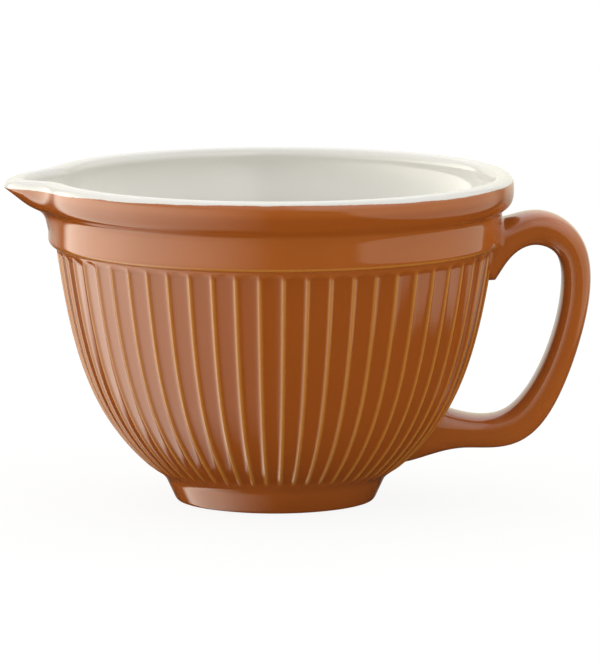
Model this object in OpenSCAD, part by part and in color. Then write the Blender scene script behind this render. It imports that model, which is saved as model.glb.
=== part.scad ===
// Batter bowl: a ribbed stoneware bowl with a pulled pouring spout and a strap handle.
// The clay is formed first, the handle is stuck on with slip, and both are then glazed.
// Origin: centre of the foot ring on the standing plane. +Z up, spout to -X, handle to +X.
// Sizes are of the clay unless a comment says that the glaze is counted in.

/* [Rim] */
// Height of the lip's crown above the standing plane
crown_z = 128; // [118:0.1:138]
// Radius of the bowl at the widest part of the lip
lip_r = 92.7; // [91.5:0.1:96]
// Radius of the rounded bead that edges the lip
bead_r = 3.4; // [2.6:0.1:4.2]
// Height of the hollow curve between the bead's middle and the collar
cove_h = 10.6; // [8:0.1:13]
// Radius of the plain collar
collar_r = 88.2; // [87:0.1:90]
// Height of the plain collar between its ledge and the hollow curve
collar_h = 12.6; // [9:0.1:16]
// How far the collar stands out from the wall below it
ledge_w = 3.4; // [3:0.1:4.5]
// Rounding of the collar's lower edge
ledge_round = 2.2; // [1.2:0.1:2.3]

/* [Wall] */
// Thickness of the wall
wall_t = 5.5; // [4.5:0.1:6.5]
// Thickness of the floor
floor_t = 6.3; // [5:0.1:8]
// Lean of the wall from vertical, just under the collar
top_lean = 8; // [5:0.5:12]
// Lean of the wall from vertical, where it leaves the foot
low_lean = 54; // [48:0.5:58]
// How far the upper wall runs on before it starts to curve in
top_run = 44; // [38:0.5:48]
// How far the lower wall runs on before it starts to curve up
low_run = 35; // [31:0.5:39]

/* [Foot] */
// Radius of the standing ring's outer edge
foot_r = 36.4; // [32:0.1:40]
// Height of the foot up to the wall
foot_h = 10.1; // [8:0.1:12]
// Rounding of the foot's lower edge
foot_round = 3; // [2:0.1:4]
// Lean of the foot's side from vertical
foot_lean = 25; // [15:1:30]
// Width of the flat ring that the bowl stands on
foot_ring_w = 5; // [4:0.1:7]
// Depth of the hollow inside the foot ring
foot_recess = 4.2; // [3:0.1:6]
// Slope of the hollow's side, measured inwards
recess_slope = 1.6; // [0.5:0.1:3]

/* [Ribs] */
// Number of upright ribs round the wall
rib_count = 58; // [48:2:66]
// Width of a rib under the collar
rib_w = 1.3; // [0.8:0.1:2]
// Height of a rib above the wall
rib_h = 1; // [0.8:0.1:1.2]
// Plain wall left between the collar's ledge and the ribs
rib_top_gap = 1.8; // [1:0.1:4]
// Plain wall left between the foot and the ribs
rib_low_gap = 0.6; // [0.4:0.1:4]
// Height over which a rib rises to its full height at each end
rib_fade = 2; // [1:0.1:4]

/* [Glaze] */
// Thickness of the glaze
glaze_t = 0.5; // [0.3:0.05:0.6]
// Place on the bead where the two glazes meet, in degrees above its widest point
rim_meet = 41; // [20:1:60]

/* [Spout] */
// How far the spout is pulled out beyond the lip
spout_reach = 12.6; // [9:0.1:16]
// Half of the angle that the spout takes up round the rim
spout_angle = 22; // [18:0.5:28]
// How far the spout's tip dips below the rim
spout_drop = 1.1; // [0:0.1:4]
// Height of the rim that is drawn into the spout
spout_h = 21; // [17:0.1:25]
// How sharply the spout swells towards the rim
spout_swell = 1.8; // [1.5:0.1:2.4]

/* [Handle] */
// Room for the fingers between the collar and the grip, clay to clay
finger_gap = 24.8; // [20:0.1:30]
// Thickness of the grip
grip_t = 10.4; // [8:0.1:13]
// Width of the grip
grip_w = 20; // [16:0.1:26]
// Height of the middle of the upper joint above the collar's ledge
upper_joint_z = 1.6; // [0:0.1:5]
// Height of the middle of the lower joint above the standing plane
lower_joint_z = 27; // [25:0.1:30]
// Extra width of the strap where it spreads out at a joint
joint_spread = 9; // [4:0.1:14]
// Extra depth of the upper end where it is pressed on to the collar
upper_press = 20; // [14:0.5:24]
// Extra depth of the lower end where it is pressed on to the wall
lower_press = 16; // [10:0.5:20]
// Squareness of the strap's section, where 2 is an ellipse
strap_square = 2.6; // [2:0.1:4]

/* [Hidden] */
$fn = 128;

clay_colour = "wheat";
slip_colour = "burlywood";
rib_colour = "peru";
outer_colour = "sienna";
liner_colour = "ivory";

// Steps along each curve
wall_steps = 16;
cove_steps = 8;
bead_steps = 8;
round_steps = 5;
throat_steps = 8;
spout_steps = 20;
strap_steps = 4;
strap_sides = 16;

// Hair's breadth by which the spout's loft stays clear of the clay that it grows out of
seam = 0.15;
// How far the loft runs on into the plain rim at its edges
seam_let = 0.6;
// Fine line left in the glaze where the spout's coat meets the rest
glaze_line = 0.15;

// Heights and radii that follow from the sizes above
bead_z = crown_z - bead_r;
bead_x = lip_r - bead_r;
cove_z = bead_z - cove_h;
ledge_z = cove_z - collar_h;
wall_top_r = collar_r - ledge_w;
spout_z = crown_z - spout_h;
floor_z = foot_recess + floor_t;
rib_angle = rib_w / wall_top_r * 180 / PI;
rib_step = 360 / rib_count;
// A rib stands in the middle of the front, and a plain panel under the spout and the handle
rib_turns = [for (i = [0 : rib_count - 1]) (i + 0.5) * rib_step];
// Slip fills the joint up to the tops of the ribs
slip_t = rib_h;
// Bounds that clear the whole bowl
clear_r = lip_r + spout_reach + bead_r;
clear_z = crown_z + bead_r;
// Angle that a length takes up round the lip
function round_lip(length) = length / lip_r * 180 / PI;

// Unit direction that leans a given angle outwards from vertical
function lean(a) = [sin(a), cos(a)];
function unit(v) = v / norm(v);
function blend(a, b, share) = a + share * (b - a);
function reverse(list) = [for (i = [len(list) - 1 : -1 : 0]) list[i]];
function slice(list, a, b) = [for (i = [a : b]) list[i]];
function rest(list) = slice(list, 1, len(list) - 1);

function arc(centre, r, from, to, n) =
    [for (i = [0 : n]) let (a = from + (to - from) * i / n) centre + r * [cos(a), sin(a)]];

function bezier(a, b, c, d, n) =
    [for (i = [0 : n]) let (t = i / n, u = 1 - t)
        u * u * u * a + 3 * u * u * t * b + 3 * u * t * t * c + t * t * t * d];

// Side of a path that faces away from the clay: the right of its direction of travel
function side(p, q) = let (d = unit(q - p)) [d[1], -d[0]];

// Curve that runs parallel to a path at a given distance, with mitred corners
function grow(p, d) = let (last = len(p) - 1)
    [for (i = [0 : last]) let (
        a = side(p[max(i - 1, 0)], p[max(i, 1)]),
        b = side(p[min(i, last - 1)], p[min(i + 1, last)]))
        p[i] + d * (a + b) / (1 + a * b)];

// Point of a rising path at a given height
function at_height(p, z) = let (
    i = max([for (k = [0 : len(p) - 2]) if (p[k][1] <= z) k]),
    t = (z - p[i][1]) / (p[i + 1][1] - p[i][1]))
    p[i] + t * (p[i + 1] - p[i]);

// Points of a path between two heights
function between(p, low, high) = [for (q = p) if (q[1] > low && q[1] < high) q];

// Outline of the clay, from the foot up the outside, over the lip and down to the floor
foot_edge = arc([foot_r, foot_round], foot_round, -90, -foot_lean, round_steps);
foot_edge_end = foot_edge[round_steps];
neck = [foot_edge_end[0] + (foot_h - foot_edge_end[1]) * tan(foot_lean), foot_h];
wall_top = [wall_top_r, ledge_z];
wall = bezier(neck, neck + low_run * lean(low_lean),
    wall_top - top_run * lean(top_lean), wall_top, wall_steps);
ledge = arc([collar_r - ledge_round, ledge_z + ledge_round], ledge_round, -90, 0, round_steps);
cove_tuck = 0.42 * cove_h;
cove_swell = 0.72 * cove_h;
cove = bezier([collar_r, cove_z], [collar_r, cove_z + cove_tuck],
    [lip_r, bead_z - cove_swell], [lip_r, bead_z], cove_steps);
bead_outside = arc([bead_x, bead_z], bead_r, 0, rim_meet, round_steps);
bead_top = arc([bead_x, bead_z], bead_r, rim_meet, 90, round_steps);
bead_inside = arc([bead_x, bead_z], bead_r, 90, 180, bead_steps);

inner_wall = reverse(grow(wall, -wall_t));
throat_top = [bead_x - bead_r, bead_z];
throat_run = (throat_top[1] - inner_wall[0][1]) / 3;
// Under a lip that stands far out, the throat draws up towards the corner over the inner wall
throat_corner = [inner_wall[0][0], bead_z];
throat_draw = 1 - min(1, throat_run / max(lip_r - collar_r, throat_run));
throat = bezier(throat_top, blend(throat_top - [0, throat_run], throat_corner, throat_draw),
    blend(inner_wall[0] + throat_run * lean(top_lean), throat_corner, throat_draw), inner_wall[0],
    throat_steps);
inner_low = inner_wall[wall_steps];
floor_bend = (inner_low[1] - floor_z) / cos(low_lean);
floor_corner = inner_low - floor_bend * lean(low_lean);
floor_turn = bezier(inner_low, (inner_low + 2 * floor_corner) / 3,
    floor_corner - [floor_bend / 3, 0], floor_corner - [floor_bend, 0], round_steps);

outer_path = concat([foot_edge_end], wall, ledge, cove, rest(bead_outside));
inner_path = concat(rest(bead_top), rest(bead_inside), rest(throat), rest(inner_wall),
    rest(floor_turn), [[0, floor_z]]);
skin = concat(outer_path, inner_path);
skin_last = len(skin) - 1;
rim_last = len(outer_path) - 1;
crown_at = rim_last + round_steps;
wall_top_at = wall_steps + 1;

// Face that the handle is pressed on to: it bridges the corner under the collar's ledge
seat = [for (i = [0 : rim_last]) if (i != wall_top_at) skin[i]];

// Solid shape of the bowl's outside along a path, a given distance proud of it
module outside(path, d) {
    edge = grow(path, d);
    rotate_extrude()
        polygon(concat([[0, edge[0][1]]], edge, [[0, edge[len(edge) - 1][1]]]));
}

// The rim's pull at an angle from the spout's middle, and at a height: the bead is drawn out whole
function pull(a) = abs(a) < spout_angle ? pow(cos(90 * a / spout_angle), 3) : 0;
function swell(z) = pow(max(0, min(1, (z - spout_z) / (bead_z - spout_z))), spout_swell);
function pulled(p, a, share) = let (k = share * pull(a) * swell(p[1]), r = p[0] + spout_reach * k)
    [-r * cos(a), -r * sin(a), p[1] - spout_drop * k];

// Triangles that zip a ring of n points shut from its ends to its middle
function zip_faces(n) = [for (j = [0 : floor(n / 2) - 1]) let (k = n - 1 - j)
    each concat(j + 1 < k ? [[j, j + 1, k]] : [], j + 1 < k - 1 ? [[j + 1, k - 1, k]] : [])];

// Triangles of a loft through rings of equal length, closed at both ends
function loft_faces(rings, n) = concat(
    zip_faces(n),
    [for (i = [0 : rings - 2]) for (j = [0 : n - 1]) let (k = (j + 1) % n)
        each [[i * n + j, (i + 1) * n + j, (i + 1) * n + k], [i * n + j, (i + 1) * n + k, i * n + k]]],
    [for (f = zip_faces(n)) [for (j = reverse(f)) (rings - 1) * n + j]]);

// Stretch of a rim path that lies above a height, cut level at its open ends
function above(path, z) = let (
    up = [for (i = [0 : len(path) - 1]) if (path[i][1] > z) i],
    a = up[0],
    b = up[len(up) - 1],
    first = a == 0 ? [] : [at_height([path[a - 1], path[a]], z)],
    last = b == len(path) - 1 ? [] : [at_height([path[b + 1], path[b]], z)])
    concat(first, slice(path, a, b), last);

// Upright line at a radius, up to a given height, with a point for each point of a path
function upright(path, r, top) = let (
    low = min([for (p = path) p[1]]),
    high = max([for (p = path) p[1]]))
    [for (p = path) [r, low + (p[1] - low) * (top - low) / (high - low)]];

// Loft round the spout between two paths, of which the first takes a share of the pull
module spout_loft(low, high, low_share, half) {
    turns = [for (i = [0 : spout_steps]) half * (2 * i / spout_steps - 1)];
    polyhedron([for (a = turns) each concat(
            [for (p = low) pulled(p, a, low_share)],
            [for (p = reverse(high)) pulled(p, a, 1)])],
        loft_faces(len(turns), 2 * len(low)));
}

// Coat of glaze over a stretch of the clay's outline, cut by any children, and its patch on the spout
module coat(from, to, lift) {
    high = slice(grow(skin, glaze_t), from, to);
    patch_z = spout_z + glaze_line;
    difference() {
        rotate_extrude()
            polygon(concat(slice(skin, from, to), reverse(high)));
        translate([0, 0, spout_z])
            linear_extrude(clear_z)
                polygon([[0, 0], for (a = [-1, 1]) 2 * clear_r * [-cos(spout_angle), a * sin(spout_angle)]]);
        children();
    }
    spout_loft(above(slice(grow(skin, lift), from, to), patch_z),
        above(slice(grow(skin, lift + glaze_t), from, to), patch_z), 1, spout_angle - round_lip(glaze_line));
}

// Ribs: the clay ridges, and the slots that they take up in the glaze
rib_low = neck[1] + rib_low_gap;
rib_high = ledge_z - rib_top_gap;

module rib() {
    crest = grow(wall, rib_h);
    cover = slice(grow(skin, glaze_t), 1, wall_steps + 1);
    rotate_extrude(angle = rib_angle)
        polygon(concat(
            [at_height(wall, rib_low)],
            between(wall, rib_low, rib_high),
            [at_height(wall, rib_high), at_height(cover, rib_high), at_height(crest, rib_high - rib_fade)],
            reverse(between(crest, rib_low + rib_fade, rib_high - rib_fade)),
            [at_height(crest, rib_low + rib_fade), at_height(cover, rib_low)]));
}

module at_ribs(turns) {
    for (a = turns)
        rotate([0, 0, a - rib_angle / 2])
            children();
}

module rib_slot() {
    translate([0, 0, rib_low])
        linear_extrude(rib_high - rib_low)
            polygon([[0, 0], [clear_r, 0], clear_r * [cos(rib_angle), sin(rib_angle)]]);
}

// Handle: a strap along a smooth spline of [out, up, thickness, width]
grip_out = finger_gap + grip_t / 2;
upper_z = ledge_z + upper_joint_z;
loop_h = upper_z - lower_joint_z;
low_wall_r = at_height(wall, lower_joint_z)[0];
low_out = collar_r + grip_out - low_wall_r;
joint_w = grip_w + joint_spread;
// Points of the loop, in shares of its reach and height from the upper or the lower joint
function from_collar(out, up, thick, wide) =
    [collar_r + out * grip_out, upper_z + up * loop_h, thick, wide];
function from_wall(out, up, thick, wide) =
    [low_wall_r + out * low_out, lower_joint_z + up * loop_h, thick, wide];
strap = [
    from_collar(-0.6, -0.112, grip_t + 1.1 * upper_press, joint_w),
    from_collar(-0.267, -0.046, grip_t + upper_press, joint_w),
    from_collar(0.067, 0.007, grip_t, grip_w + joint_spread / 2),
    from_collar(0.5, 0.079, 1.29 * grip_t, grip_w),
    from_collar(0.967, -0.026, grip_t, grip_w),
    from_collar(1.017, -0.257, grip_t, grip_w),
    from_wall(0.942, 0.493, 0.95 * grip_t, grip_w),
    from_wall(0.806, 0.21, 1.05 * grip_t, grip_w),
    from_wall(0.579, -0.026, 1.34 * grip_t, grip_w),
    from_wall(0.205, 0, 0.9 * grip_t, grip_w),
    from_wall(-0.116, 0.013, grip_t + lower_press, joint_w),
    from_wall(-0.302, 0.033, grip_t + 1.38 * lower_press, joint_w),
    from_wall(-0.498, 0.059, grip_t + 1.5 * lower_press, joint_w)];

function spline_weights(t) =
    [pow(1 - t, 3), 3 * t * t * t - 6 * t * t + 4, -3 * t * t * t + 3 * t * t + 3 * t + 1, t * t * t] / 6;
function spline_slopes(t) =
    [-(1 - t) * (1 - t), 3 * t * t - 4 * t, -3 * t * t + 2 * t + 1, t * t] / 2;
spans = len(strap) - 3;
stations = [for (s = [0 : spans - 1]) for (i = [0 : strap_steps - 1]) [s, i / strap_steps], [spans - 1, 1]];

function strap_ring(s, t, extra) = let (
    four = slice(strap, s, s + 3),
    at = spline_weights(t) * four,
    run = spline_slopes(t) * four,
    across = unit([-run[1], run[0]]))
    [for (j = [0 : strap_sides - 1]) let (
        a = -360 * j / strap_sides,
        u = sign(cos(a)) * pow(abs(cos(a)), 2 / strap_square) * (at[2] / 2 + extra),
        v = sign(sin(a)) * pow(abs(sin(a)), 2 / strap_square) * (at[3] / 2 + extra))
        [at[0] + u * across[0], v, at[1] + u * across[1]]];

module strap_form(extra) {
    polyhedron([for (s = stations) each strap_ring(s[0], s[1], extra)],
        loft_faces(len(stations), strap_sides));
}

// Ribs that run under the ends of the handle
handle_ribs = [for (a = rib_turns) if (joint_w > abs(2 * low_wall_r * sin(a)) && cos(a) > 0) a];
joint_split_z = (upper_z + lower_joint_z) / 2;

module slip_joint(from_z, height) {
    difference() {
        intersection() {
            strap_form(0);
            difference() {
                outside(seat, slip_t);
                outside(outer_path, 0);
            }
            translate([0, -clear_r, from_z])
                cube([2 * clear_r, 2 * clear_r, height]);
        }
        at_ribs(handle_ribs)
            rib_slot();
    }
}

// Clay drawn out of the rim, and the channel pressed into it
module spout_clay() {
    rise = above(slice(grow(skin, -seam), 0, crown_at), spout_z - seam_let);
    spout_loft(upright(rise, min(collar_r, bead_x) - ledge_w / 2, bead_z), rise, 0,
        spout_angle + round_lip(seam_let));
}

module spout_channel() {
    fall = above(slice(grow(skin, seam), crown_at, skin_last), spout_z - 2 * seam_let);
    rise = concat(reverse(fall), [[bead_x, clear_z]]);
    spout_loft(upright(rise, wall_top_r / 2, clear_z), rise, 0, spout_angle + 2 * round_lip(seam_let));
}

module bowl_body() {
    base = [[0, foot_recess], [foot_r - foot_ring_w - recess_slope, foot_recess], [foot_r - foot_ring_w, 0]];
    color(clay_colour)
        difference() {
            union() {
                rotate_extrude()
                    polygon(concat(base, slice(foot_edge, 0, round_steps - 1), skin));
                spout_clay();
            }
            spout_channel();
        }
}

module wall_ribs() {
    color(rib_colour)
        at_ribs(rib_turns)
            rib();
}

module outer_glaze() {
    color(outer_colour)
        coat(0, rim_last, 0) {
            at_ribs(rib_turns)
                rib_slot();
            strap_form(0);
        }
}

module liner_glaze() {
    color(liner_colour)
        coat(rim_last, skin_last, seam);
}

module handle() {
    color(clay_colour)
        difference() {
            strap_form(0);
            outside(seat, slip_t);
        }
}

module upper_slip_joint() {
    color(slip_colour)
        slip_joint(joint_split_z, clear_z - joint_split_z);
}

module lower_slip_joint() {
    color(slip_colour)
        slip_joint(0, joint_split_z);
}

module handle_glaze() {
    color(outer_colour)
        difference() {
            difference() {
                strap_form(glaze_t);
                outside(seat, slip_t);
            }
            strap_form(0);
        }
}

bowl_body();
wall_ribs();
outer_glaze();
liner_glaze();
handle();
upper_slip_joint();
lower_slip_joint();
handle_glaze();
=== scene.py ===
import math

import bmesh
import bpy
from mathutils import Matrix, Vector
from mathutils.geometry import interpolate_bezier


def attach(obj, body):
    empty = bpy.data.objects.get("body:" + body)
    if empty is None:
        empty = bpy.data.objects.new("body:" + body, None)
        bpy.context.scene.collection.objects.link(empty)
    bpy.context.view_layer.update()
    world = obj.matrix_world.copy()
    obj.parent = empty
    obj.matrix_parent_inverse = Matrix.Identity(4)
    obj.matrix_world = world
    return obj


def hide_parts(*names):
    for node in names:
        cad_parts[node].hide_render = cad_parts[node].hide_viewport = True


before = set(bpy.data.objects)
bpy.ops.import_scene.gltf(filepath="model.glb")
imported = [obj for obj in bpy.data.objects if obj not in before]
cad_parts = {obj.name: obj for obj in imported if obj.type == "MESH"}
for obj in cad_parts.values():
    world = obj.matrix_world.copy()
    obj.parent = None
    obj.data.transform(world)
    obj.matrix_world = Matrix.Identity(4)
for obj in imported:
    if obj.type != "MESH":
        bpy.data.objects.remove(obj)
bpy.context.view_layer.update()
scene = bpy.context.scene

# Camera: stands in front of the bowl and a little above the rim, as the photograph was taken,
# with a long lens that keeps the sides of the wall nearly parallel.
aim = Vector((0.0097, 0.0, 0.0666))
camera_turn, camera_rise = math.radians(-2.0), math.radians(8.27)
camera_far = 2.526
lens = bpy.data.cameras.new("camera")
lens.lens = 351.5
lens.sensor_width = 36.0
camera = bpy.data.objects.new("camera", lens)
camera.location = aim + camera_far * Vector((
    math.sin(camera_turn) * math.cos(camera_rise),
    -math.cos(camera_turn) * math.cos(camera_rise),
    math.sin(camera_rise)))
camera.rotation_euler = (aim - camera.location).to_track_quat("-Z", "Y").to_euler()
scene.collection.objects.link(camera)
scene.camera = camera

# Clay: buff stoneware, formed on a wheel head and fired. The bowl, the strap of the handle and the
# slip that sticks it on are the solids of the frame; only the dry underside of the foot shows.
mm = 0.001
buff_light, buff_dark = (0.52, 0.39, 0.25, 1), (0.42, 0.30, 0.18, 1)
slip_light, slip_dark = (0.48, 0.35, 0.22, 1), (0.40, 0.28, 0.17, 1)
iron_speck = (0.12, 0.06, 0.03, 1)
grit_scale, patch_scale = 900.0, 60.0
grit_strength, grit_height = 0.25, 0.2 * mm
clay_dullness = 0.82


def new_material(name):
    material = bpy.data.materials.new(name)
    material.use_nodes = True
    tree = material.node_tree
    return material, tree, tree.nodes["Principled BSDF"]


def add_node(tree, kind, inputs=(), **settings):
    node = tree.nodes.new(kind)
    for key, value in settings.items():
        setattr(node, key, value)
    for socket, value in dict(inputs).items():
        if isinstance(value, bpy.types.NodeSocket):
            tree.links.new(value, node.inputs[socket])
        else:
            node.inputs[socket].default_value = value
    return node


def mix_colours(tree, share, first, second):
    node = add_node(tree, "ShaderNodeMix", {0: share, 6: first, 7: second}, data_type="RGBA")
    return node.outputs[2]


def ramp(tree, value, low, high, to_low=0.0, to_high=1.0):
    """Runs from one value to another between two limits, with soft ends."""
    node = add_node(tree, "ShaderNodeMapRange", {
        "Value": value, "From Min": low, "From Max": high, "To Min": to_low, "To Max": to_high},
        interpolation_type="SMOOTHSTEP")
    return node.outputs["Result"]


def speckle(tree, scale, detail=3.0):
    place = add_node(tree, "ShaderNodeTexCoord").outputs["Object"]
    return add_node(tree, "ShaderNodeTexNoise", {
        "Vector": place, "Scale": scale, "Detail": detail}).outputs["Fac"]


def new_effect(name, takes, gives):
    """Starts a node group with named sockets, and returns it with its way in and its way out."""
    group = bpy.data.node_groups.new(name, "ShaderNodeTree")
    for way, sockets in (("INPUT", takes), ("OUTPUT", gives)):
        for socket, kind in sockets.items():
            group.interface.new_socket(socket, in_out=way, socket_type=kind)
    way_in, way_out = group.nodes.new("NodeGroupInput"), group.nodes.new("NodeGroupOutput")
    return group, way_in.outputs, way_out.inputs


def place_effect(tree, effect, inputs):
    return add_node(tree, "ShaderNodeGroup", inputs, node_tree=effect).outputs


clay_grit, taken, given = new_effect(
    "clay_grit", {"Light": "NodeSocketColor", "Dark": "NodeSocketColor"},
    {"Colour": "NodeSocketColor", "Normal": "NodeSocketVector"})
grit = speckle(clay_grit, grit_scale)
patches = ramp(clay_grit, speckle(clay_grit, patch_scale), 0.35, 0.65)
clay = mix_colours(clay_grit, patches, taken["Light"], taken["Dark"])
iron = ramp(clay_grit, grit, 0.68, 0.74)
clay_grit.links.new(mix_colours(clay_grit, iron, clay, iron_speck), given["Colour"])
bump = add_node(clay_grit, "ShaderNodeBump", {
    "Height": grit, "Strength": grit_strength, "Distance": grit_height})
clay_grit.links.new(bump.outputs["Normal"], given["Normal"])

for clay_name, light, dark, node_names in (
        ("stoneware", buff_light, buff_dark, ("bowl_body", "handle")),
        ("joining_slip", slip_light, slip_dark, ("upper_slip_joint", "lower_slip_joint"))):
    finish, tree, shader = new_material(clay_name)
    grain = place_effect(tree, clay_grit, {"Light": light, "Dark": dark})
    tree.links.new(grain["Colour"], shader.inputs["Base Color"])
    tree.links.new(grain["Normal"], shader.inputs["Normal"])
    shader.inputs["Roughness"].default_value = clay_dullness
    for node_name in node_names:
        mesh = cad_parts[node_name].data
        mesh.materials.clear()
        mesh.materials.append(finish)

# Outer glaze: burnt-orange gloss glaze over the clay from the dry foot up to the lip's crown. It
# pools in the flutes pressed into the wall, is painted darker in the cove under the lip as painted
# shade, breaks to tan along the ridges and the collar's lower edge, and meets the white glaze in a
# ragged line on the lip.
glaze = 0.5 * mm
foot_r, foot_round, foot_from, foot_to = 36.4 * mm, 3.0 * mm, -52, -25
neck = Vector((43.02, 10.1)) * mm
low_lean, low_pull = 54, 35 * mm
wall_top = Vector((84.8, 101.4)) * mm
top_lean, top_pull = 8, 44 * mm
collar_r, ledge_round = 88.2 * mm, 2.2 * mm
cove_low, cove_rise, cove_flare, cove_drop = 112.4 * mm, 5.8 * mm, 0.9 * mm, 10.8 * mm
bead_x, bead_z, bead_r, lip_r = 89.3 * mm, 124.6 * mm, 3.4 * mm, 92.7 * mm
overlap_turn = 64.0


def parallel(path, gap):
    """Path that keeps a gap to the right of another one, with mitred corners."""
    moved = []
    last = len(path) - 1
    for i, point in enumerate(path):
        a = (path[max(i, 1)] - path[max(i - 1, 0)]).normalized()
        b = (path[min(i + 1, last)] - path[min(i, last - 1)]).normalized()
        side_a, side_b = Vector((a.y, -a.x)), Vector((b.y, -b.x))
        moved.append(point + gap * (side_a + side_b) / (1 + side_a.dot(side_b)))
    return moved


def lean(degrees):
    return Vector((math.sin(math.radians(degrees)), math.cos(math.radians(degrees))))


def curve(start, leave, arrive, end, count):
    return [p.to_2d() for p in interpolate_bezier(
        start.to_3d(), leave.to_3d(), arrive.to_3d(), end.to_3d(), count)]


def bend(centre, radius, first, last, count):
    turns = [math.radians(first + (last - first) * i / (count - 1)) for i in range(count)]
    return [centre + radius * Vector((math.cos(a), math.sin(a))) for a in turns]


def soften(corner, before, after, count):
    return curve(before, before.lerp(corner, 0.6), after.lerp(corner, 0.6), after, count)


clay_foot = bend(Vector((foot_r, foot_round)), foot_round, foot_from, foot_to, 7)
clay_wall = curve(neck, neck + low_pull * lean(low_lean),
                  wall_top - top_pull * lean(top_lean), wall_top, 161)
wall_rows = [*range(6, 20, 2), *range(20, 136, 4), *range(136, 157)]
clay_ledge = bend(Vector((collar_r - ledge_round, wall_top.y + ledge_round)),
                  ledge_round, -90, 0, 10)
clay_cove = curve(Vector((collar_r, cove_low)), Vector((collar_r, cove_low + cove_rise)),
                  Vector((lip_r + cove_flare, bead_z - cove_drop)), Vector((lip_r, bead_z)), 17)
clay_bead = bend(Vector((bead_x, bead_z)), bead_r, 0, overlap_turn, 10)

foot_side = [clay_foot[-1].lerp(neck, t) for t in (0.0, 0.25, 0.5, 0.72)]
neck_turn = soften(neck, clay_foot[-1].lerp(neck, 0.8), clay_wall[4], 6)
ledge_turn = soften(wall_top, clay_wall[-3], clay_ledge[1], 6)
collar_side = [clay_ledge[-1].lerp(clay_cove[0], t) for t in (0.12, 0.3, 0.5, 0.7, 0.88)]
clay_outside = (
    clay_foot[:-1] + foot_side + neck_turn + [clay_wall[i] for i in wall_rows] + ledge_turn
    + clay_ledge[2:] + collar_side + clay_cove + clay_bead[1:])
outside = parallel(clay_outside, glaze)
outside[0] = clay_outside[0]
backing = clay_outside[3:-1:6] + clay_outside[-1:]

spout_reach, spout_drop, spout_half, spout_point = 12.6 * mm, 1.1 * mm, 22.0, 3
spout_low, spout_swell = 107.0 * mm, 1.8


def pull_spout(v):
    """Draws the rim out towards -X where the spout is, with the bead kept whole."""
    turn = math.degrees(math.atan2(v.y, -v.x))
    rise = min(1.0, (v.z - spout_low) / (bead_z - spout_low))
    if abs(turn) < spout_half and rise > 0:
        across = math.cos(math.radians(90 * turn / spout_half)) ** spout_point
        share = across * rise ** spout_swell
        r = math.hypot(v.x, v.y)
        v.xy = v.xy * (r + spout_reach * share) / r
        v.z -= spout_drop * share


def spin_path(front, back, steps, closed):
    """Spins a coat's face and the side that lies on the clay into one shell, the face marked."""
    bm = bmesh.new()
    face = bm.verts.layers.float.new("face")
    verts = [bm.verts.new((p.x, 0, p.y)) for p in front + back]
    for v in verts[:len(front)]:
        v[face] = 1.0
    edges = [bm.edges.new(pair) for pair in zip(verts, verts[1:] + verts[:1] * closed)]
    bmesh.ops.spin(bm, geom=verts + edges, cent=(0, 0, 0), axis=(0, 0, 1), dvec=(0, 0, 0),
                   angle=math.pi / 4, steps=steps // 8, use_merge=False, use_duplicate=False)
    for turn in (45, 90, 180):
        copied = bmesh.ops.duplicate(bm, geom=bm.verts[:] + bm.edges[:] + bm.faces[:])["geom"]
        bmesh.ops.rotate(bm, verts=[g for g in copied if isinstance(g, bmesh.types.BMVert)],
                         cent=(0, 0, 0), matrix=Matrix.Rotation(math.radians(turn), 3, "Z"))
    bmesh.ops.remove_doubles(bm, verts=bm.verts, dist=0.001 * mm)
    bmesh.ops.recalc_face_normals(bm, faces=bm.faces)
    return bm


def finish_piece(bm, name, material, replaced):
    mesh = bpy.data.meshes.new(name)
    bm.to_mesh(mesh)
    bm.free()
    mesh.materials.append(material)
    mesh.shade_smooth()
    piece = bpy.data.objects.new(name, mesh)
    scene.collection.objects.link(piece)
    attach(piece, "root")
    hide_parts(*replaced)
    return piece


def smooth_step(low, high, x):
    t = min(1.0, max(0.0, (x - low) / (high - low)))
    return t * t * (3 - 2 * t)


# ridges: their number, the turn of the first, and the columns from a ridge to a flute's middle
rib_count, rib_turn = 58, math.radians(0.4)
rib_columns = (0.0, 0.065, 0.133, 0.215, 0.366, 0.645, 1.0)
crest_over, crest_w, bare_w = 0.55 * mm, 0.74 * mm, 1.0 * mm
# flutes: how deep and how flat they are, where they start, and the arch that ends them
flute_depth, flute_flat = 0.8 * mm, 0.8
flute_low, flute_full, flute_top = 10.6 * mm, 15.0 * mm, 100.4 * mm
arch_h, arch_power, arch_soft = 1.7 * mm, 2.4, 1.5 * mm
under_ledge, ledge_near, ledge_far = 0.4 * mm, 0.3 * mm, 1.2 * mm
# bare line on the ledge, painted shade in the cove under the lip, and degrees by which the white
# runs lower
line_up, line_w, line_in = 0.6 * mm, 0.55 * mm, 1.6 * mm
cove_full, cove_fade = 4.0 * mm, 3.2 * mm
side_white, spout_white = 16.0, 20.0
low_slope, top_slope, slope_mid = 0.6, 0.14, 0.6

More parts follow.
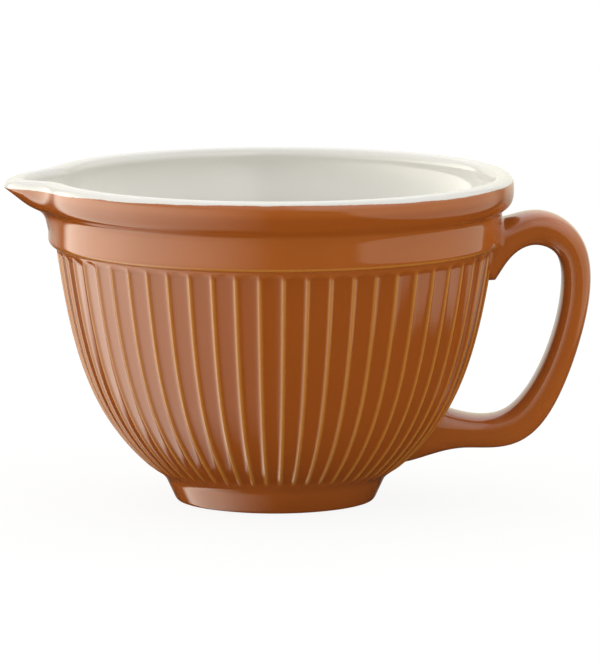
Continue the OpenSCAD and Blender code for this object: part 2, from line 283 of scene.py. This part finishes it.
around = 2 * (len(rib_columns) - 1)
pitch = 2 * math.pi / rib_count
bm = spin_path(outside, backing[::-1], rib_count * around, True)
face = bm.verts.layers.float["face"]
thin, pool_and_shade, meet = [bm.verts.layers.float.new(mask) for mask in ("thin", "pool_and_shade", "meet")]
for v in bm.verts:
    r, z = math.hypot(v.co.x, v.co.y), v.co.z
    column = round(math.atan2(v.co.y, v.co.x) / pitch * around - around / 2)
    rib = math.floor(column / around + 0.5)
    off = column - rib * around
    share = math.copysign(rib_columns[abs(off)], off)
    turn = (rib + 0.5 + share / 2) * pitch + rib_turn
    height = 0.0
    if v[face] and flute_low < z < wall_top.y - under_ledge:
        beside = abs(share) * (r * pitch / 2)
        crest = math.exp(-(beside / crest_w) ** 2)
        rounded = (1 - flute_flat) * math.sin(math.pi / 2 * abs(share))
        hollow = (1 - crest) * (flute_flat + rounded)
        arch = flute_top - arch_h * (1 - abs(share)) ** arch_power
        open_low = smooth_step(flute_low, flute_full, z)
        opened = open_low * smooth_step(0.0, arch_soft, arch - z)
        body = crest_over * open_low * smooth_step(ledge_near, ledge_far, wall_top.y - z)
        height = body - flute_depth * hollow * opened
        v[thin] = math.exp(-(beside / bare_w) ** 2) * opened
        v[pool_and_shade] = hollow * opened
    if r > collar_r - line_in:
        edge = (z - (wall_top.y + line_up)) / line_w
        v[thin] = max(v[thin], math.exp(-edge * edge))
    # in the cove under the lip the same mask carries painted shade: darker under the overhang of
    # the bead
    if z > cove_low:
        v[pool_and_shade] = smooth_step(cove_low, cove_low + cove_full, z) * (
            1 - smooth_step(bead_z - cove_fade, bead_z, z))
    part_up = z / wall_top.y
    tilt = math.atan(top_slope * smooth_step(1 - slope_mid, 1.0, part_up)
                     + low_slope * (1 - smooth_step(0.0, slope_mid, part_up)))
    r += height * math.cos(tilt)
    z -= height * math.sin(tilt)
    if z > bead_z - bead_r:
        side = smooth_step(0.2, 0.75, abs(math.cos(turn)))
        spout = smooth_step(0.72, 0.95, -math.cos(turn))
        lower = side_white * side + spout_white * spout
        v[meet] = math.degrees(math.atan2(z - bead_z, r - bead_x)) + lower
    v.co = (r * math.cos(turn), r * math.sin(turn), z)
    pull_spout(v.co)

orange_light, orange_deep = (0.335, 0.0895, 0.0158, 1), (0.310, 0.0815, 0.0138, 1)
# darker orange: glaze pooled in the flutes, and painted shade in the cove under the lip
orange_pooled_and_shaded, ridge_tan = (0.258, 0.0605, 0.0072, 1), (0.42, 0.172, 0.030, 1)
# the lip's white is painted darker than the liner's: painted shade on the crown, which faces the
# light from above
crown_shaded_white = (0.565, 0.555, 0.53, 1)
meet_turn, meet_soft, meet_drift, meet_tooth = 41.0, 2.5, 2.0, 0.9
cloud_scale, drift_scale, tooth_scale = 28.0, 60.0, 420.0
most_shown, ragged_by = 0.85, 0.06
glossiest, ripple_strength, ripple_height = 0.05, 0.05, 0.3 * mm
glaze_ior = 1.55


def calc(tree, operation, *values):
    """Takes the values together one after another, or works on one alone."""
    result = values[0]
    for value in values[1:] or (0.0,):
        inputs = {0: result, 1: value}
        result = add_node(tree, "ShaderNodeMath", inputs, operation=operation).outputs[0]
    return result


glaze_skin, taken, given = new_effect(
    "glaze_skin",
    {name: "NodeSocketFloat" for name in ("Grain", "Ripple", "Dullest")},
    {"Fine": "NodeSocketFloat", "Roughness": "NodeSocketFloat", "Normal": "NodeSocketVector"})
fine = speckle(glaze_skin, taken["Grain"], 4.0)
glaze_skin.links.new(fine, given["Fine"])
glaze_skin.links.new(
    ramp(glaze_skin, fine, 0.2, 0.8, glossiest, taken["Dullest"]), given["Roughness"])
ripple = add_node(glaze_skin, "ShaderNodeBump", {
    "Height": speckle(glaze_skin, taken["Ripple"], 2.0),
    "Strength": ripple_strength, "Distance": ripple_height})
glaze_skin.links.new(ripple.outputs["Normal"], given["Normal"])

orange_glaze, tree, shader = new_material("orange_glaze")
skin = place_effect(tree, glaze_skin, {"Grain": 420.0, "Ripple": 240.0, "Dullest": 0.09})
thin_value, pool_and_shade_value, meet_value = [
    add_node(tree, "ShaderNodeAttribute", attribute_name=mask).outputs["Fac"]
    for mask in ("thin", "pool_and_shade", "meet")]
cloud = ramp(tree, speckle(tree, cloud_scale), 0.3, 0.7)
orange = mix_colours(tree, cloud, orange_light, orange_deep)
# darker orange where the glaze pools in the flutes, and painted shade in the cove under the lip
pool_and_shade_share = ramp(tree, pool_and_shade_value, 0.2, 1.0, 0.0, most_shown)
panel = mix_colours(tree, pool_and_shade_share, orange, orange_pooled_and_shaded)
ragged = calc(
    tree, "ADD", thin_value, ramp(tree, skin["Fine"], 0.25, 0.75, -ragged_by, ragged_by))
bare = ramp(tree, ragged, 0.2, 1.05, 0.0, most_shown)
broken = mix_colours(tree, bare, panel, ridge_tan)
drift = ramp(tree, speckle(tree, drift_scale, 1.0), 0.3, 0.7, -meet_drift, meet_drift)
tooth = ramp(tree, speckle(tree, tooth_scale, 2.0), 0.3, 0.7, -meet_tooth, meet_tooth)
wander = calc(tree, "ADD", meet_value, calc(tree, "ADD", drift, tooth))
white_share = ramp(tree, wander, meet_turn - meet_soft, meet_turn + meet_soft)
tree.links.new(mix_colours(tree, white_share, broken, crown_shaded_white), shader.inputs["Base Color"])
tree.links.new(skin["Roughness"], shader.inputs["Roughness"])
tree.links.new(skin["Normal"], shader.inputs["Normal"])
shader.inputs["IOR"].default_value = glaze_ior
finish_piece(bm, "outer_glaze_coat", orange_glaze, ("outer_glaze", "wall_ribs"))

# Liner glaze: off-white gloss glaze poured inside the bowl, over the crown of the lip and down the
# throat and the wall to the floor. On the crown its white is painted darker, as painted shade.
wall_t, floor_z = 5.5 * mm, 10.5 * mm
milk_light, milk_deep = (0.64, 0.63, 0.60, 1), (0.62, 0.61, 0.575, 1)
iron_fleck, most_fleck = (0.60, 0.54, 0.42, 1), 0.35
milk_scale, fleck_scale = 18.0, 700.0
# heights between which the liner's white turns to the darker crown white, as painted shade
crown_low, crown_high = bead_z + 1.4 * mm, bead_z + 3.0 * mm

clay_crown = bend(Vector((bead_x, bead_z)), bead_r, overlap_turn - 6, 180, 22)
clay_inner = list(reversed(parallel(clay_wall, -wall_t)))
throat_top = clay_crown[-1]
throat_run = (throat_top.y - clay_inner[0].y) / 3
clay_throat = curve(throat_top, throat_top - Vector((0, throat_run)),
                    clay_inner[0] + throat_run * lean(top_lean), clay_inner[0], 16)
floor_bend = (clay_inner[-1].y - floor_z) / math.cos(math.radians(low_lean))
floor_corner = clay_inner[-1] - floor_bend * lean(low_lean)
floor_edge = floor_corner - Vector((floor_bend, 0))
clay_turn = soften(floor_corner, clay_inner[-1], floor_edge, 9)
clay_floor = [floor_edge.lerp(Vector((0, floor_z)), t) for t in (0.25, 0.5, 0.75, 1.0)]
inside_clay = clay_crown + clay_throat[1:] + clay_inner[1::4] + clay_turn[1:] + clay_floor
inside = parallel(inside_clay, glaze)
inside[0] = clay_crown[0].lerp(inside[0], 0.9)
inside[-1].x = 0.0

bm = spin_path(inside[::-1], inside_clay[:-1:3] + inside_clay[-1:], 360, False)
for v in bm.verts:
    pull_spout(v.co)

white_glaze, tree, shader = new_material("white_glaze")
skin = place_effect(tree, glaze_skin, {"Grain": 380.0, "Ripple": 200.0, "Dullest": 0.11})
cloud = ramp(tree, speckle(tree, milk_scale), 0.3, 0.7)
milk = mix_colours(tree, cloud, milk_light, milk_deep)
place = add_node(tree, "ShaderNodeTexCoord").outputs["Object"]
up = add_node(tree, "ShaderNodeSeparateXYZ", {"Vector": place}).outputs["Z"]
# towards the crown the white turns darker: painted shade on the upward-facing crown
milk_with_crown_shade = mix_colours(tree, ramp(tree, up, crown_low, crown_high), milk, crown_shaded_white)
flecks = ramp(tree, speckle(tree, fleck_scale, 2.0), 0.76, 0.80, 0.0, most_fleck)
tree.links.new(mix_colours(tree, flecks, milk_with_crown_shade, iron_fleck), shader.inputs["Base Color"])
tree.links.new(skin["Roughness"], shader.inputs["Roughness"])
tree.links.new(skin["Normal"], shader.inputs["Normal"])
shader.inputs["IOR"].default_value = glaze_ior
finish_piece(bm, "liner_glaze_coat", white_glaze, ("liner_glaze",))

# Handle glaze: the same burnt-orange glaze over the strap handle, which is pulled from a lump of
# clay, bent into a loop, pressed on to collar and wall with slip, and glazed into a soft fillet
# there. The strap's spline has, at each point, x, z, thickness and width in mm.
strap = [(70.2, 94.5, 33.4, 30.0), (80.2, 99.5, 31.4, 30.0), (90.2, 103.5, 11.4, 25.5),
         (103.2, 109.0, 14.4, 21.0), (117.2, 101.0, 11.4, 21.0), (118.7, 83.5, 11.4, 21.0),
         (114.9, 64.5, 10.9, 21.0), (107.0, 43.0, 11.9, 21.0), (94.0, 25.0, 14.9, 21.0),
         (72.5, 27.0, 10.4, 21.0), (54.0, 28.0, 27.4, 30.0), (43.3, 29.5, 33.5, 30.0),
         (32.0, 31.5, 35.4, 30.0)]
strap_sides, strap_steps, strap_square = 64, 22, 2.6
joint_fillet, joint_depth, joint_reach, joint_steps = 0.9 * mm, 1.6 * mm, 10.0 * mm, 8
weld_gap, sliver_gap = 0.03 * mm, 0.01 * mm


def strap_at(span, t):
    """Place, thickness and width of the strap on its spline, and the direction it runs in."""
    weights = [(1 - t) ** 3 / 6, (3 * t ** 3 - 6 * t * t + 4) / 6,
               (-3 * t ** 3 + 3 * t * t + 3 * t + 1) / 6, t ** 3 / 6]
    slopes = [-(1 - t) ** 2 / 2, (3 * t * t - 4 * t) / 2, (-3 * t * t + 2 * t + 1) / 2, t * t / 2]
    four = [Vector(p) * mm for p in strap[span:span + 4]]
    place = sum((w * p for w, p in zip(weights, four)), Vector((0, 0, 0, 0)))
    run = sum((s * p for s, p in zip(slopes, four)), Vector((0, 0, 0, 0)))
    return place, Vector((run[0], run[1])).normalized()


def wall_gap(r, z):
    """Distance from the outer glaze, taken level with the point."""
    for low, high in zip(outside, outside[1:]):
        if low.y <= z <= high.y and high.y > low.y:
            at = low.lerp(high, (z - low.y) / (high.y - low.y))
            return (r - at.x) * (high - low).normalized().y
    return 1.0


def square_turn(a):
    c, s = math.cos(a), math.sin(a)
    power = 2 / strap_square
    return math.copysign(abs(c) ** power, c), math.copysign(abs(s) ** power, s)


bm = bmesh.new()
ring = bmesh.ops.create_circle(bm, segments=strap_sides, radius=1.0)["verts"]
ring_edges = list(bm.edges)
last_span = len(strap) - 4
stations = [(span, i / strap_steps) for span in range(last_span + 1) for i in range(strap_steps)]
stations.append((last_span, 1.0))
for number, (span, t) in enumerate(stations):
    if number:
        grown = bmesh.ops.extrude_edge_only(bm, edges=ring_edges)["geom"]
        ring = [g for g in grown if isinstance(g, bmesh.types.BMVert)]
        ring_edges = [g for g in grown if isinstance(g, bmesh.types.BMEdge)]
    (x, z, thick, wide), run = strap_at(span, t)
    for j, v in enumerate(ring):
        u, w = square_turn(2 * math.pi * j / strap_sides)
        v.co = (x - run.y * u * thick / 2, w * wide / 2, z + run.x * u * thick / 2)
for _ in range(joint_steps):
    open_edges = [e for e in bm.edges if e.is_boundary]
    for g in bmesh.ops.extrude_edge_only(bm, edges=open_edges)["geom"]:
        if isinstance(g, bmesh.types.BMVert):
            g.co.x -= joint_reach / joint_steps
bmesh.ops.holes_fill(bm, edges=[e for e in bm.edges if e.is_boundary], sides=0)
bmesh.ops.recalc_face_normals(bm, faces=bm.faces)
bm.normal_update()
for v, n in [(v, v.normal.copy()) for v in bm.verts]:
    gap = wall_gap(math.hypot(v.co.x, v.co.y), v.co.z)
    if gap < joint_fillet:
        near = joint_fillet - max(gap, 0.0)
        v.co += n * (joint_fillet - math.sqrt(joint_fillet ** 2 - near ** 2))

# the strap is trimmed to a core that lies a little way inside the bowl's outline
core_side = parallel(clay_outside[::2], glaze - joint_depth)
core_ends = [Vector((0, core_side[0].y))], [Vector((0, core_side[-1].y))]
core_bm = spin_path(core_ends[0] + core_side + core_ends[1], [], 240, False)
core_mesh = bpy.data.meshes.new("core")
core_bm.to_mesh(core_mesh)
core_bm.free()
core = bpy.data.objects.new("core", core_mesh)
scene.collection.objects.link(core)
coat = finish_piece(bm, "handle_glaze_coat", orange_glaze, ("handle_glaze",))
trim = coat.modifiers.new("trim", "BOOLEAN")
trim.operation, trim.solver, trim.object = "DIFFERENCE", "EXACT", core
evaluated = coat.evaluated_get(bpy.context.evaluated_depsgraph_get())
trimmed = bpy.data.meshes.new_from_object(evaluated)
coat.modifiers.remove(trim)
untrimmed, coat.data = coat.data, trimmed
bpy.data.meshes.remove(untrimmed)
trimmed.name = "handle_glaze_coat"
bm = bmesh.new()
bm.from_mesh(trimmed)
bmesh.ops.remove_doubles(bm, verts=bm.verts, dist=weld_gap)
bmesh.ops.dissolve_degenerate(bm, dist=sliver_gap, edges=bm.edges)
bmesh.ops.triangulate(bm, faces=[f for f in bm.faces if len(f.verts) > 4])
bm.to_mesh(trimmed)
bm.free()
bpy.data.objects.remove(core)
bpy.data.meshes.remove(core_mesh)

# Floor: a plain pale sheet of paper just under the foot, which keeps the bowl's soft shadow. Seen
# from below it is clear, so that the foot can be looked at.
paper_colour, paper_dullness, paper_glow = (0.8, 0.8, 0.8, 1), 0.9, 0.9
floor_half, floor_drop = 4.0, 0.1 * mm
floor_bm = bmesh.new()
bmesh.ops.create_grid(floor_bm, x_segments=1, y_segments=1, size=floor_half)
bmesh.ops.translate(floor_bm, verts=floor_bm.verts, vec=(0, 0, -floor_drop))
floor_mesh = bpy.data.meshes.new("floor")
floor_bm.to_mesh(floor_mesh)
floor_bm.free()
floor = bpy.data.objects.new("floor", floor_mesh)
scene.collection.objects.link(floor)
floor.visible_glossy = False

paper, tree, shader = new_material("paper")
shader.inputs["Base Color"].default_value = paper_colour
shader.inputs["Roughness"].default_value = paper_dullness
shown = add_node(tree, "ShaderNodeLightPath").outputs["Is Camera Ray"]
white = add_node(tree, "ShaderNodeEmission", {"Color": (1, 1, 1, 1), "Strength": 1.0})
both = add_node(tree, "ShaderNodeMixShader", {
    0: calc(tree, "MULTIPLY", shown, paper_glow),
    1: shader.outputs["BSDF"], 2: white.outputs["Emission"]})
from_below = add_node(tree, "ShaderNodeNewGeometry").outputs["Backfacing"]
clear = add_node(tree, "ShaderNodeBsdfTransparent")
one_way = add_node(tree, "ShaderNodeMixShader", {
    0: from_below, 1: both.outputs["Shader"], 2: clear.outputs["BSDF"]})
tree.links.new(one_way.outputs["Shader"], tree.nodes["Material Output"].inputs["Surface"])
floor_mesh.materials.append(paper)

# Light: a white tent with a broad soft light on the left, a smaller one with a bowed lower edge
# on the right, and a weak glow from behind and above. Each span has its two limits in degrees,
# and then the strength at each.
left_across, left_end, left_top = (3, 88, 0.0, 3.9), (130, 140, 1.0, 0.0), (4, 32, 1.0, 0.2)
left_steps = (-73, -51, 0.0, 0.58), (-50, -15, 0.0, 0.25), (-22, 2, 0.0, 0.20)
right_across, right_end, right_top = (4, 16, 0.0, 0.92), (125, 145, 1.0, 0.0), (50, 78, 1.0, 0.3)
right_middle, right_bow, right_low, right_soft = 90.0, -0.0064, 23.0, (-2, 2)
back_across, back_up = (135, 150), (-20, 0)
sky, tint_fade, tint_across = (0, 55, 0.02, 0.9), (10, 40), (-60, 60)
plain_white, left_tint, right_tint = (1, 1, 1, 1), (1, 0.975, 0.85, 1), (1, 0.98, 0.82, 1)


def grade(tree, value, low, high, to_low=0.0, to_high=1.0):
    """Runs evenly from one value to another between two limits."""
    return add_node(tree, "ShaderNodeMapRange", {
        "Value": value, "From Min": low, "From Max": high,
        "To Min": to_low, "To Max": to_high}).outputs["Result"]


world = bpy.data.worlds.new("studio")
scene.world = world
world.use_nodes = True
tree = world.node_tree
look = add_node(tree, "ShaderNodeSeparateXYZ", {
    "Vector": add_node(tree, "ShaderNodeTexCoord").outputs["Generated"]}).outputs
rise = calc(tree, "DEGREES", calc(tree, "ARCSINE", look["Z"]))
towards_camera = calc(tree, "MULTIPLY", look["Y"], -1.0)
right_turn = calc(tree, "DEGREES", calc(tree, "ARCTAN2", look["X"], towards_camera))
left_turn = calc(tree, "MULTIPLY", right_turn, -1.0)
any_turn = calc(tree, "ABSOLUTE", right_turn)

left_height = calc(tree, "ADD", *[grade(tree, rise, *span) for span in left_steps])
left_light = calc(
    tree, "MULTIPLY", grade(tree, left_turn, *left_across), ramp(tree, left_turn, *left_end),
    left_height, ramp(tree, rise, *left_top))
from_side = calc(tree, "SUBTRACT", right_turn, right_middle)
right_edge = calc(tree, "MULTIPLY", from_side, from_side, right_bow)
over_edge = calc(tree, "ADD", rise, right_edge, right_low)
right_light = calc(
    tree, "MULTIPLY", ramp(tree, right_turn, *right_across), ramp(tree, right_turn, *right_end),
    ramp(tree, over_edge, *right_soft), ramp(tree, rise, *right_top))
back_light = calc(
    tree, "MULTIPLY", ramp(tree, any_turn, *back_across), ramp(tree, rise, *back_up))
tent = calc(tree, "ADD", left_light, right_light, back_light, ramp(tree, rise, *sky))
shown = add_node(tree, "ShaderNodeLightPath").outputs["Is Camera Ray"]
level = add_node(tree, "ShaderNodeMix", {"Factor": shown, "A": tent, "B": 1.0}).outputs["Result"]
side_tint = mix_colours(tree, grade(tree, right_turn, *tint_across), left_tint, right_tint)
tint = mix_colours(tree, ramp(tree, rise, *tint_fade), side_tint, plain_white)
backdrop = tree.nodes["Background"].inputs
tree.links.new(mix_colours(tree, shown, tint, plain_white), backdrop["Color"])
tree.links.new(level, backdrop["Strength"])
scene.view_settings.view_transform = "Standard"
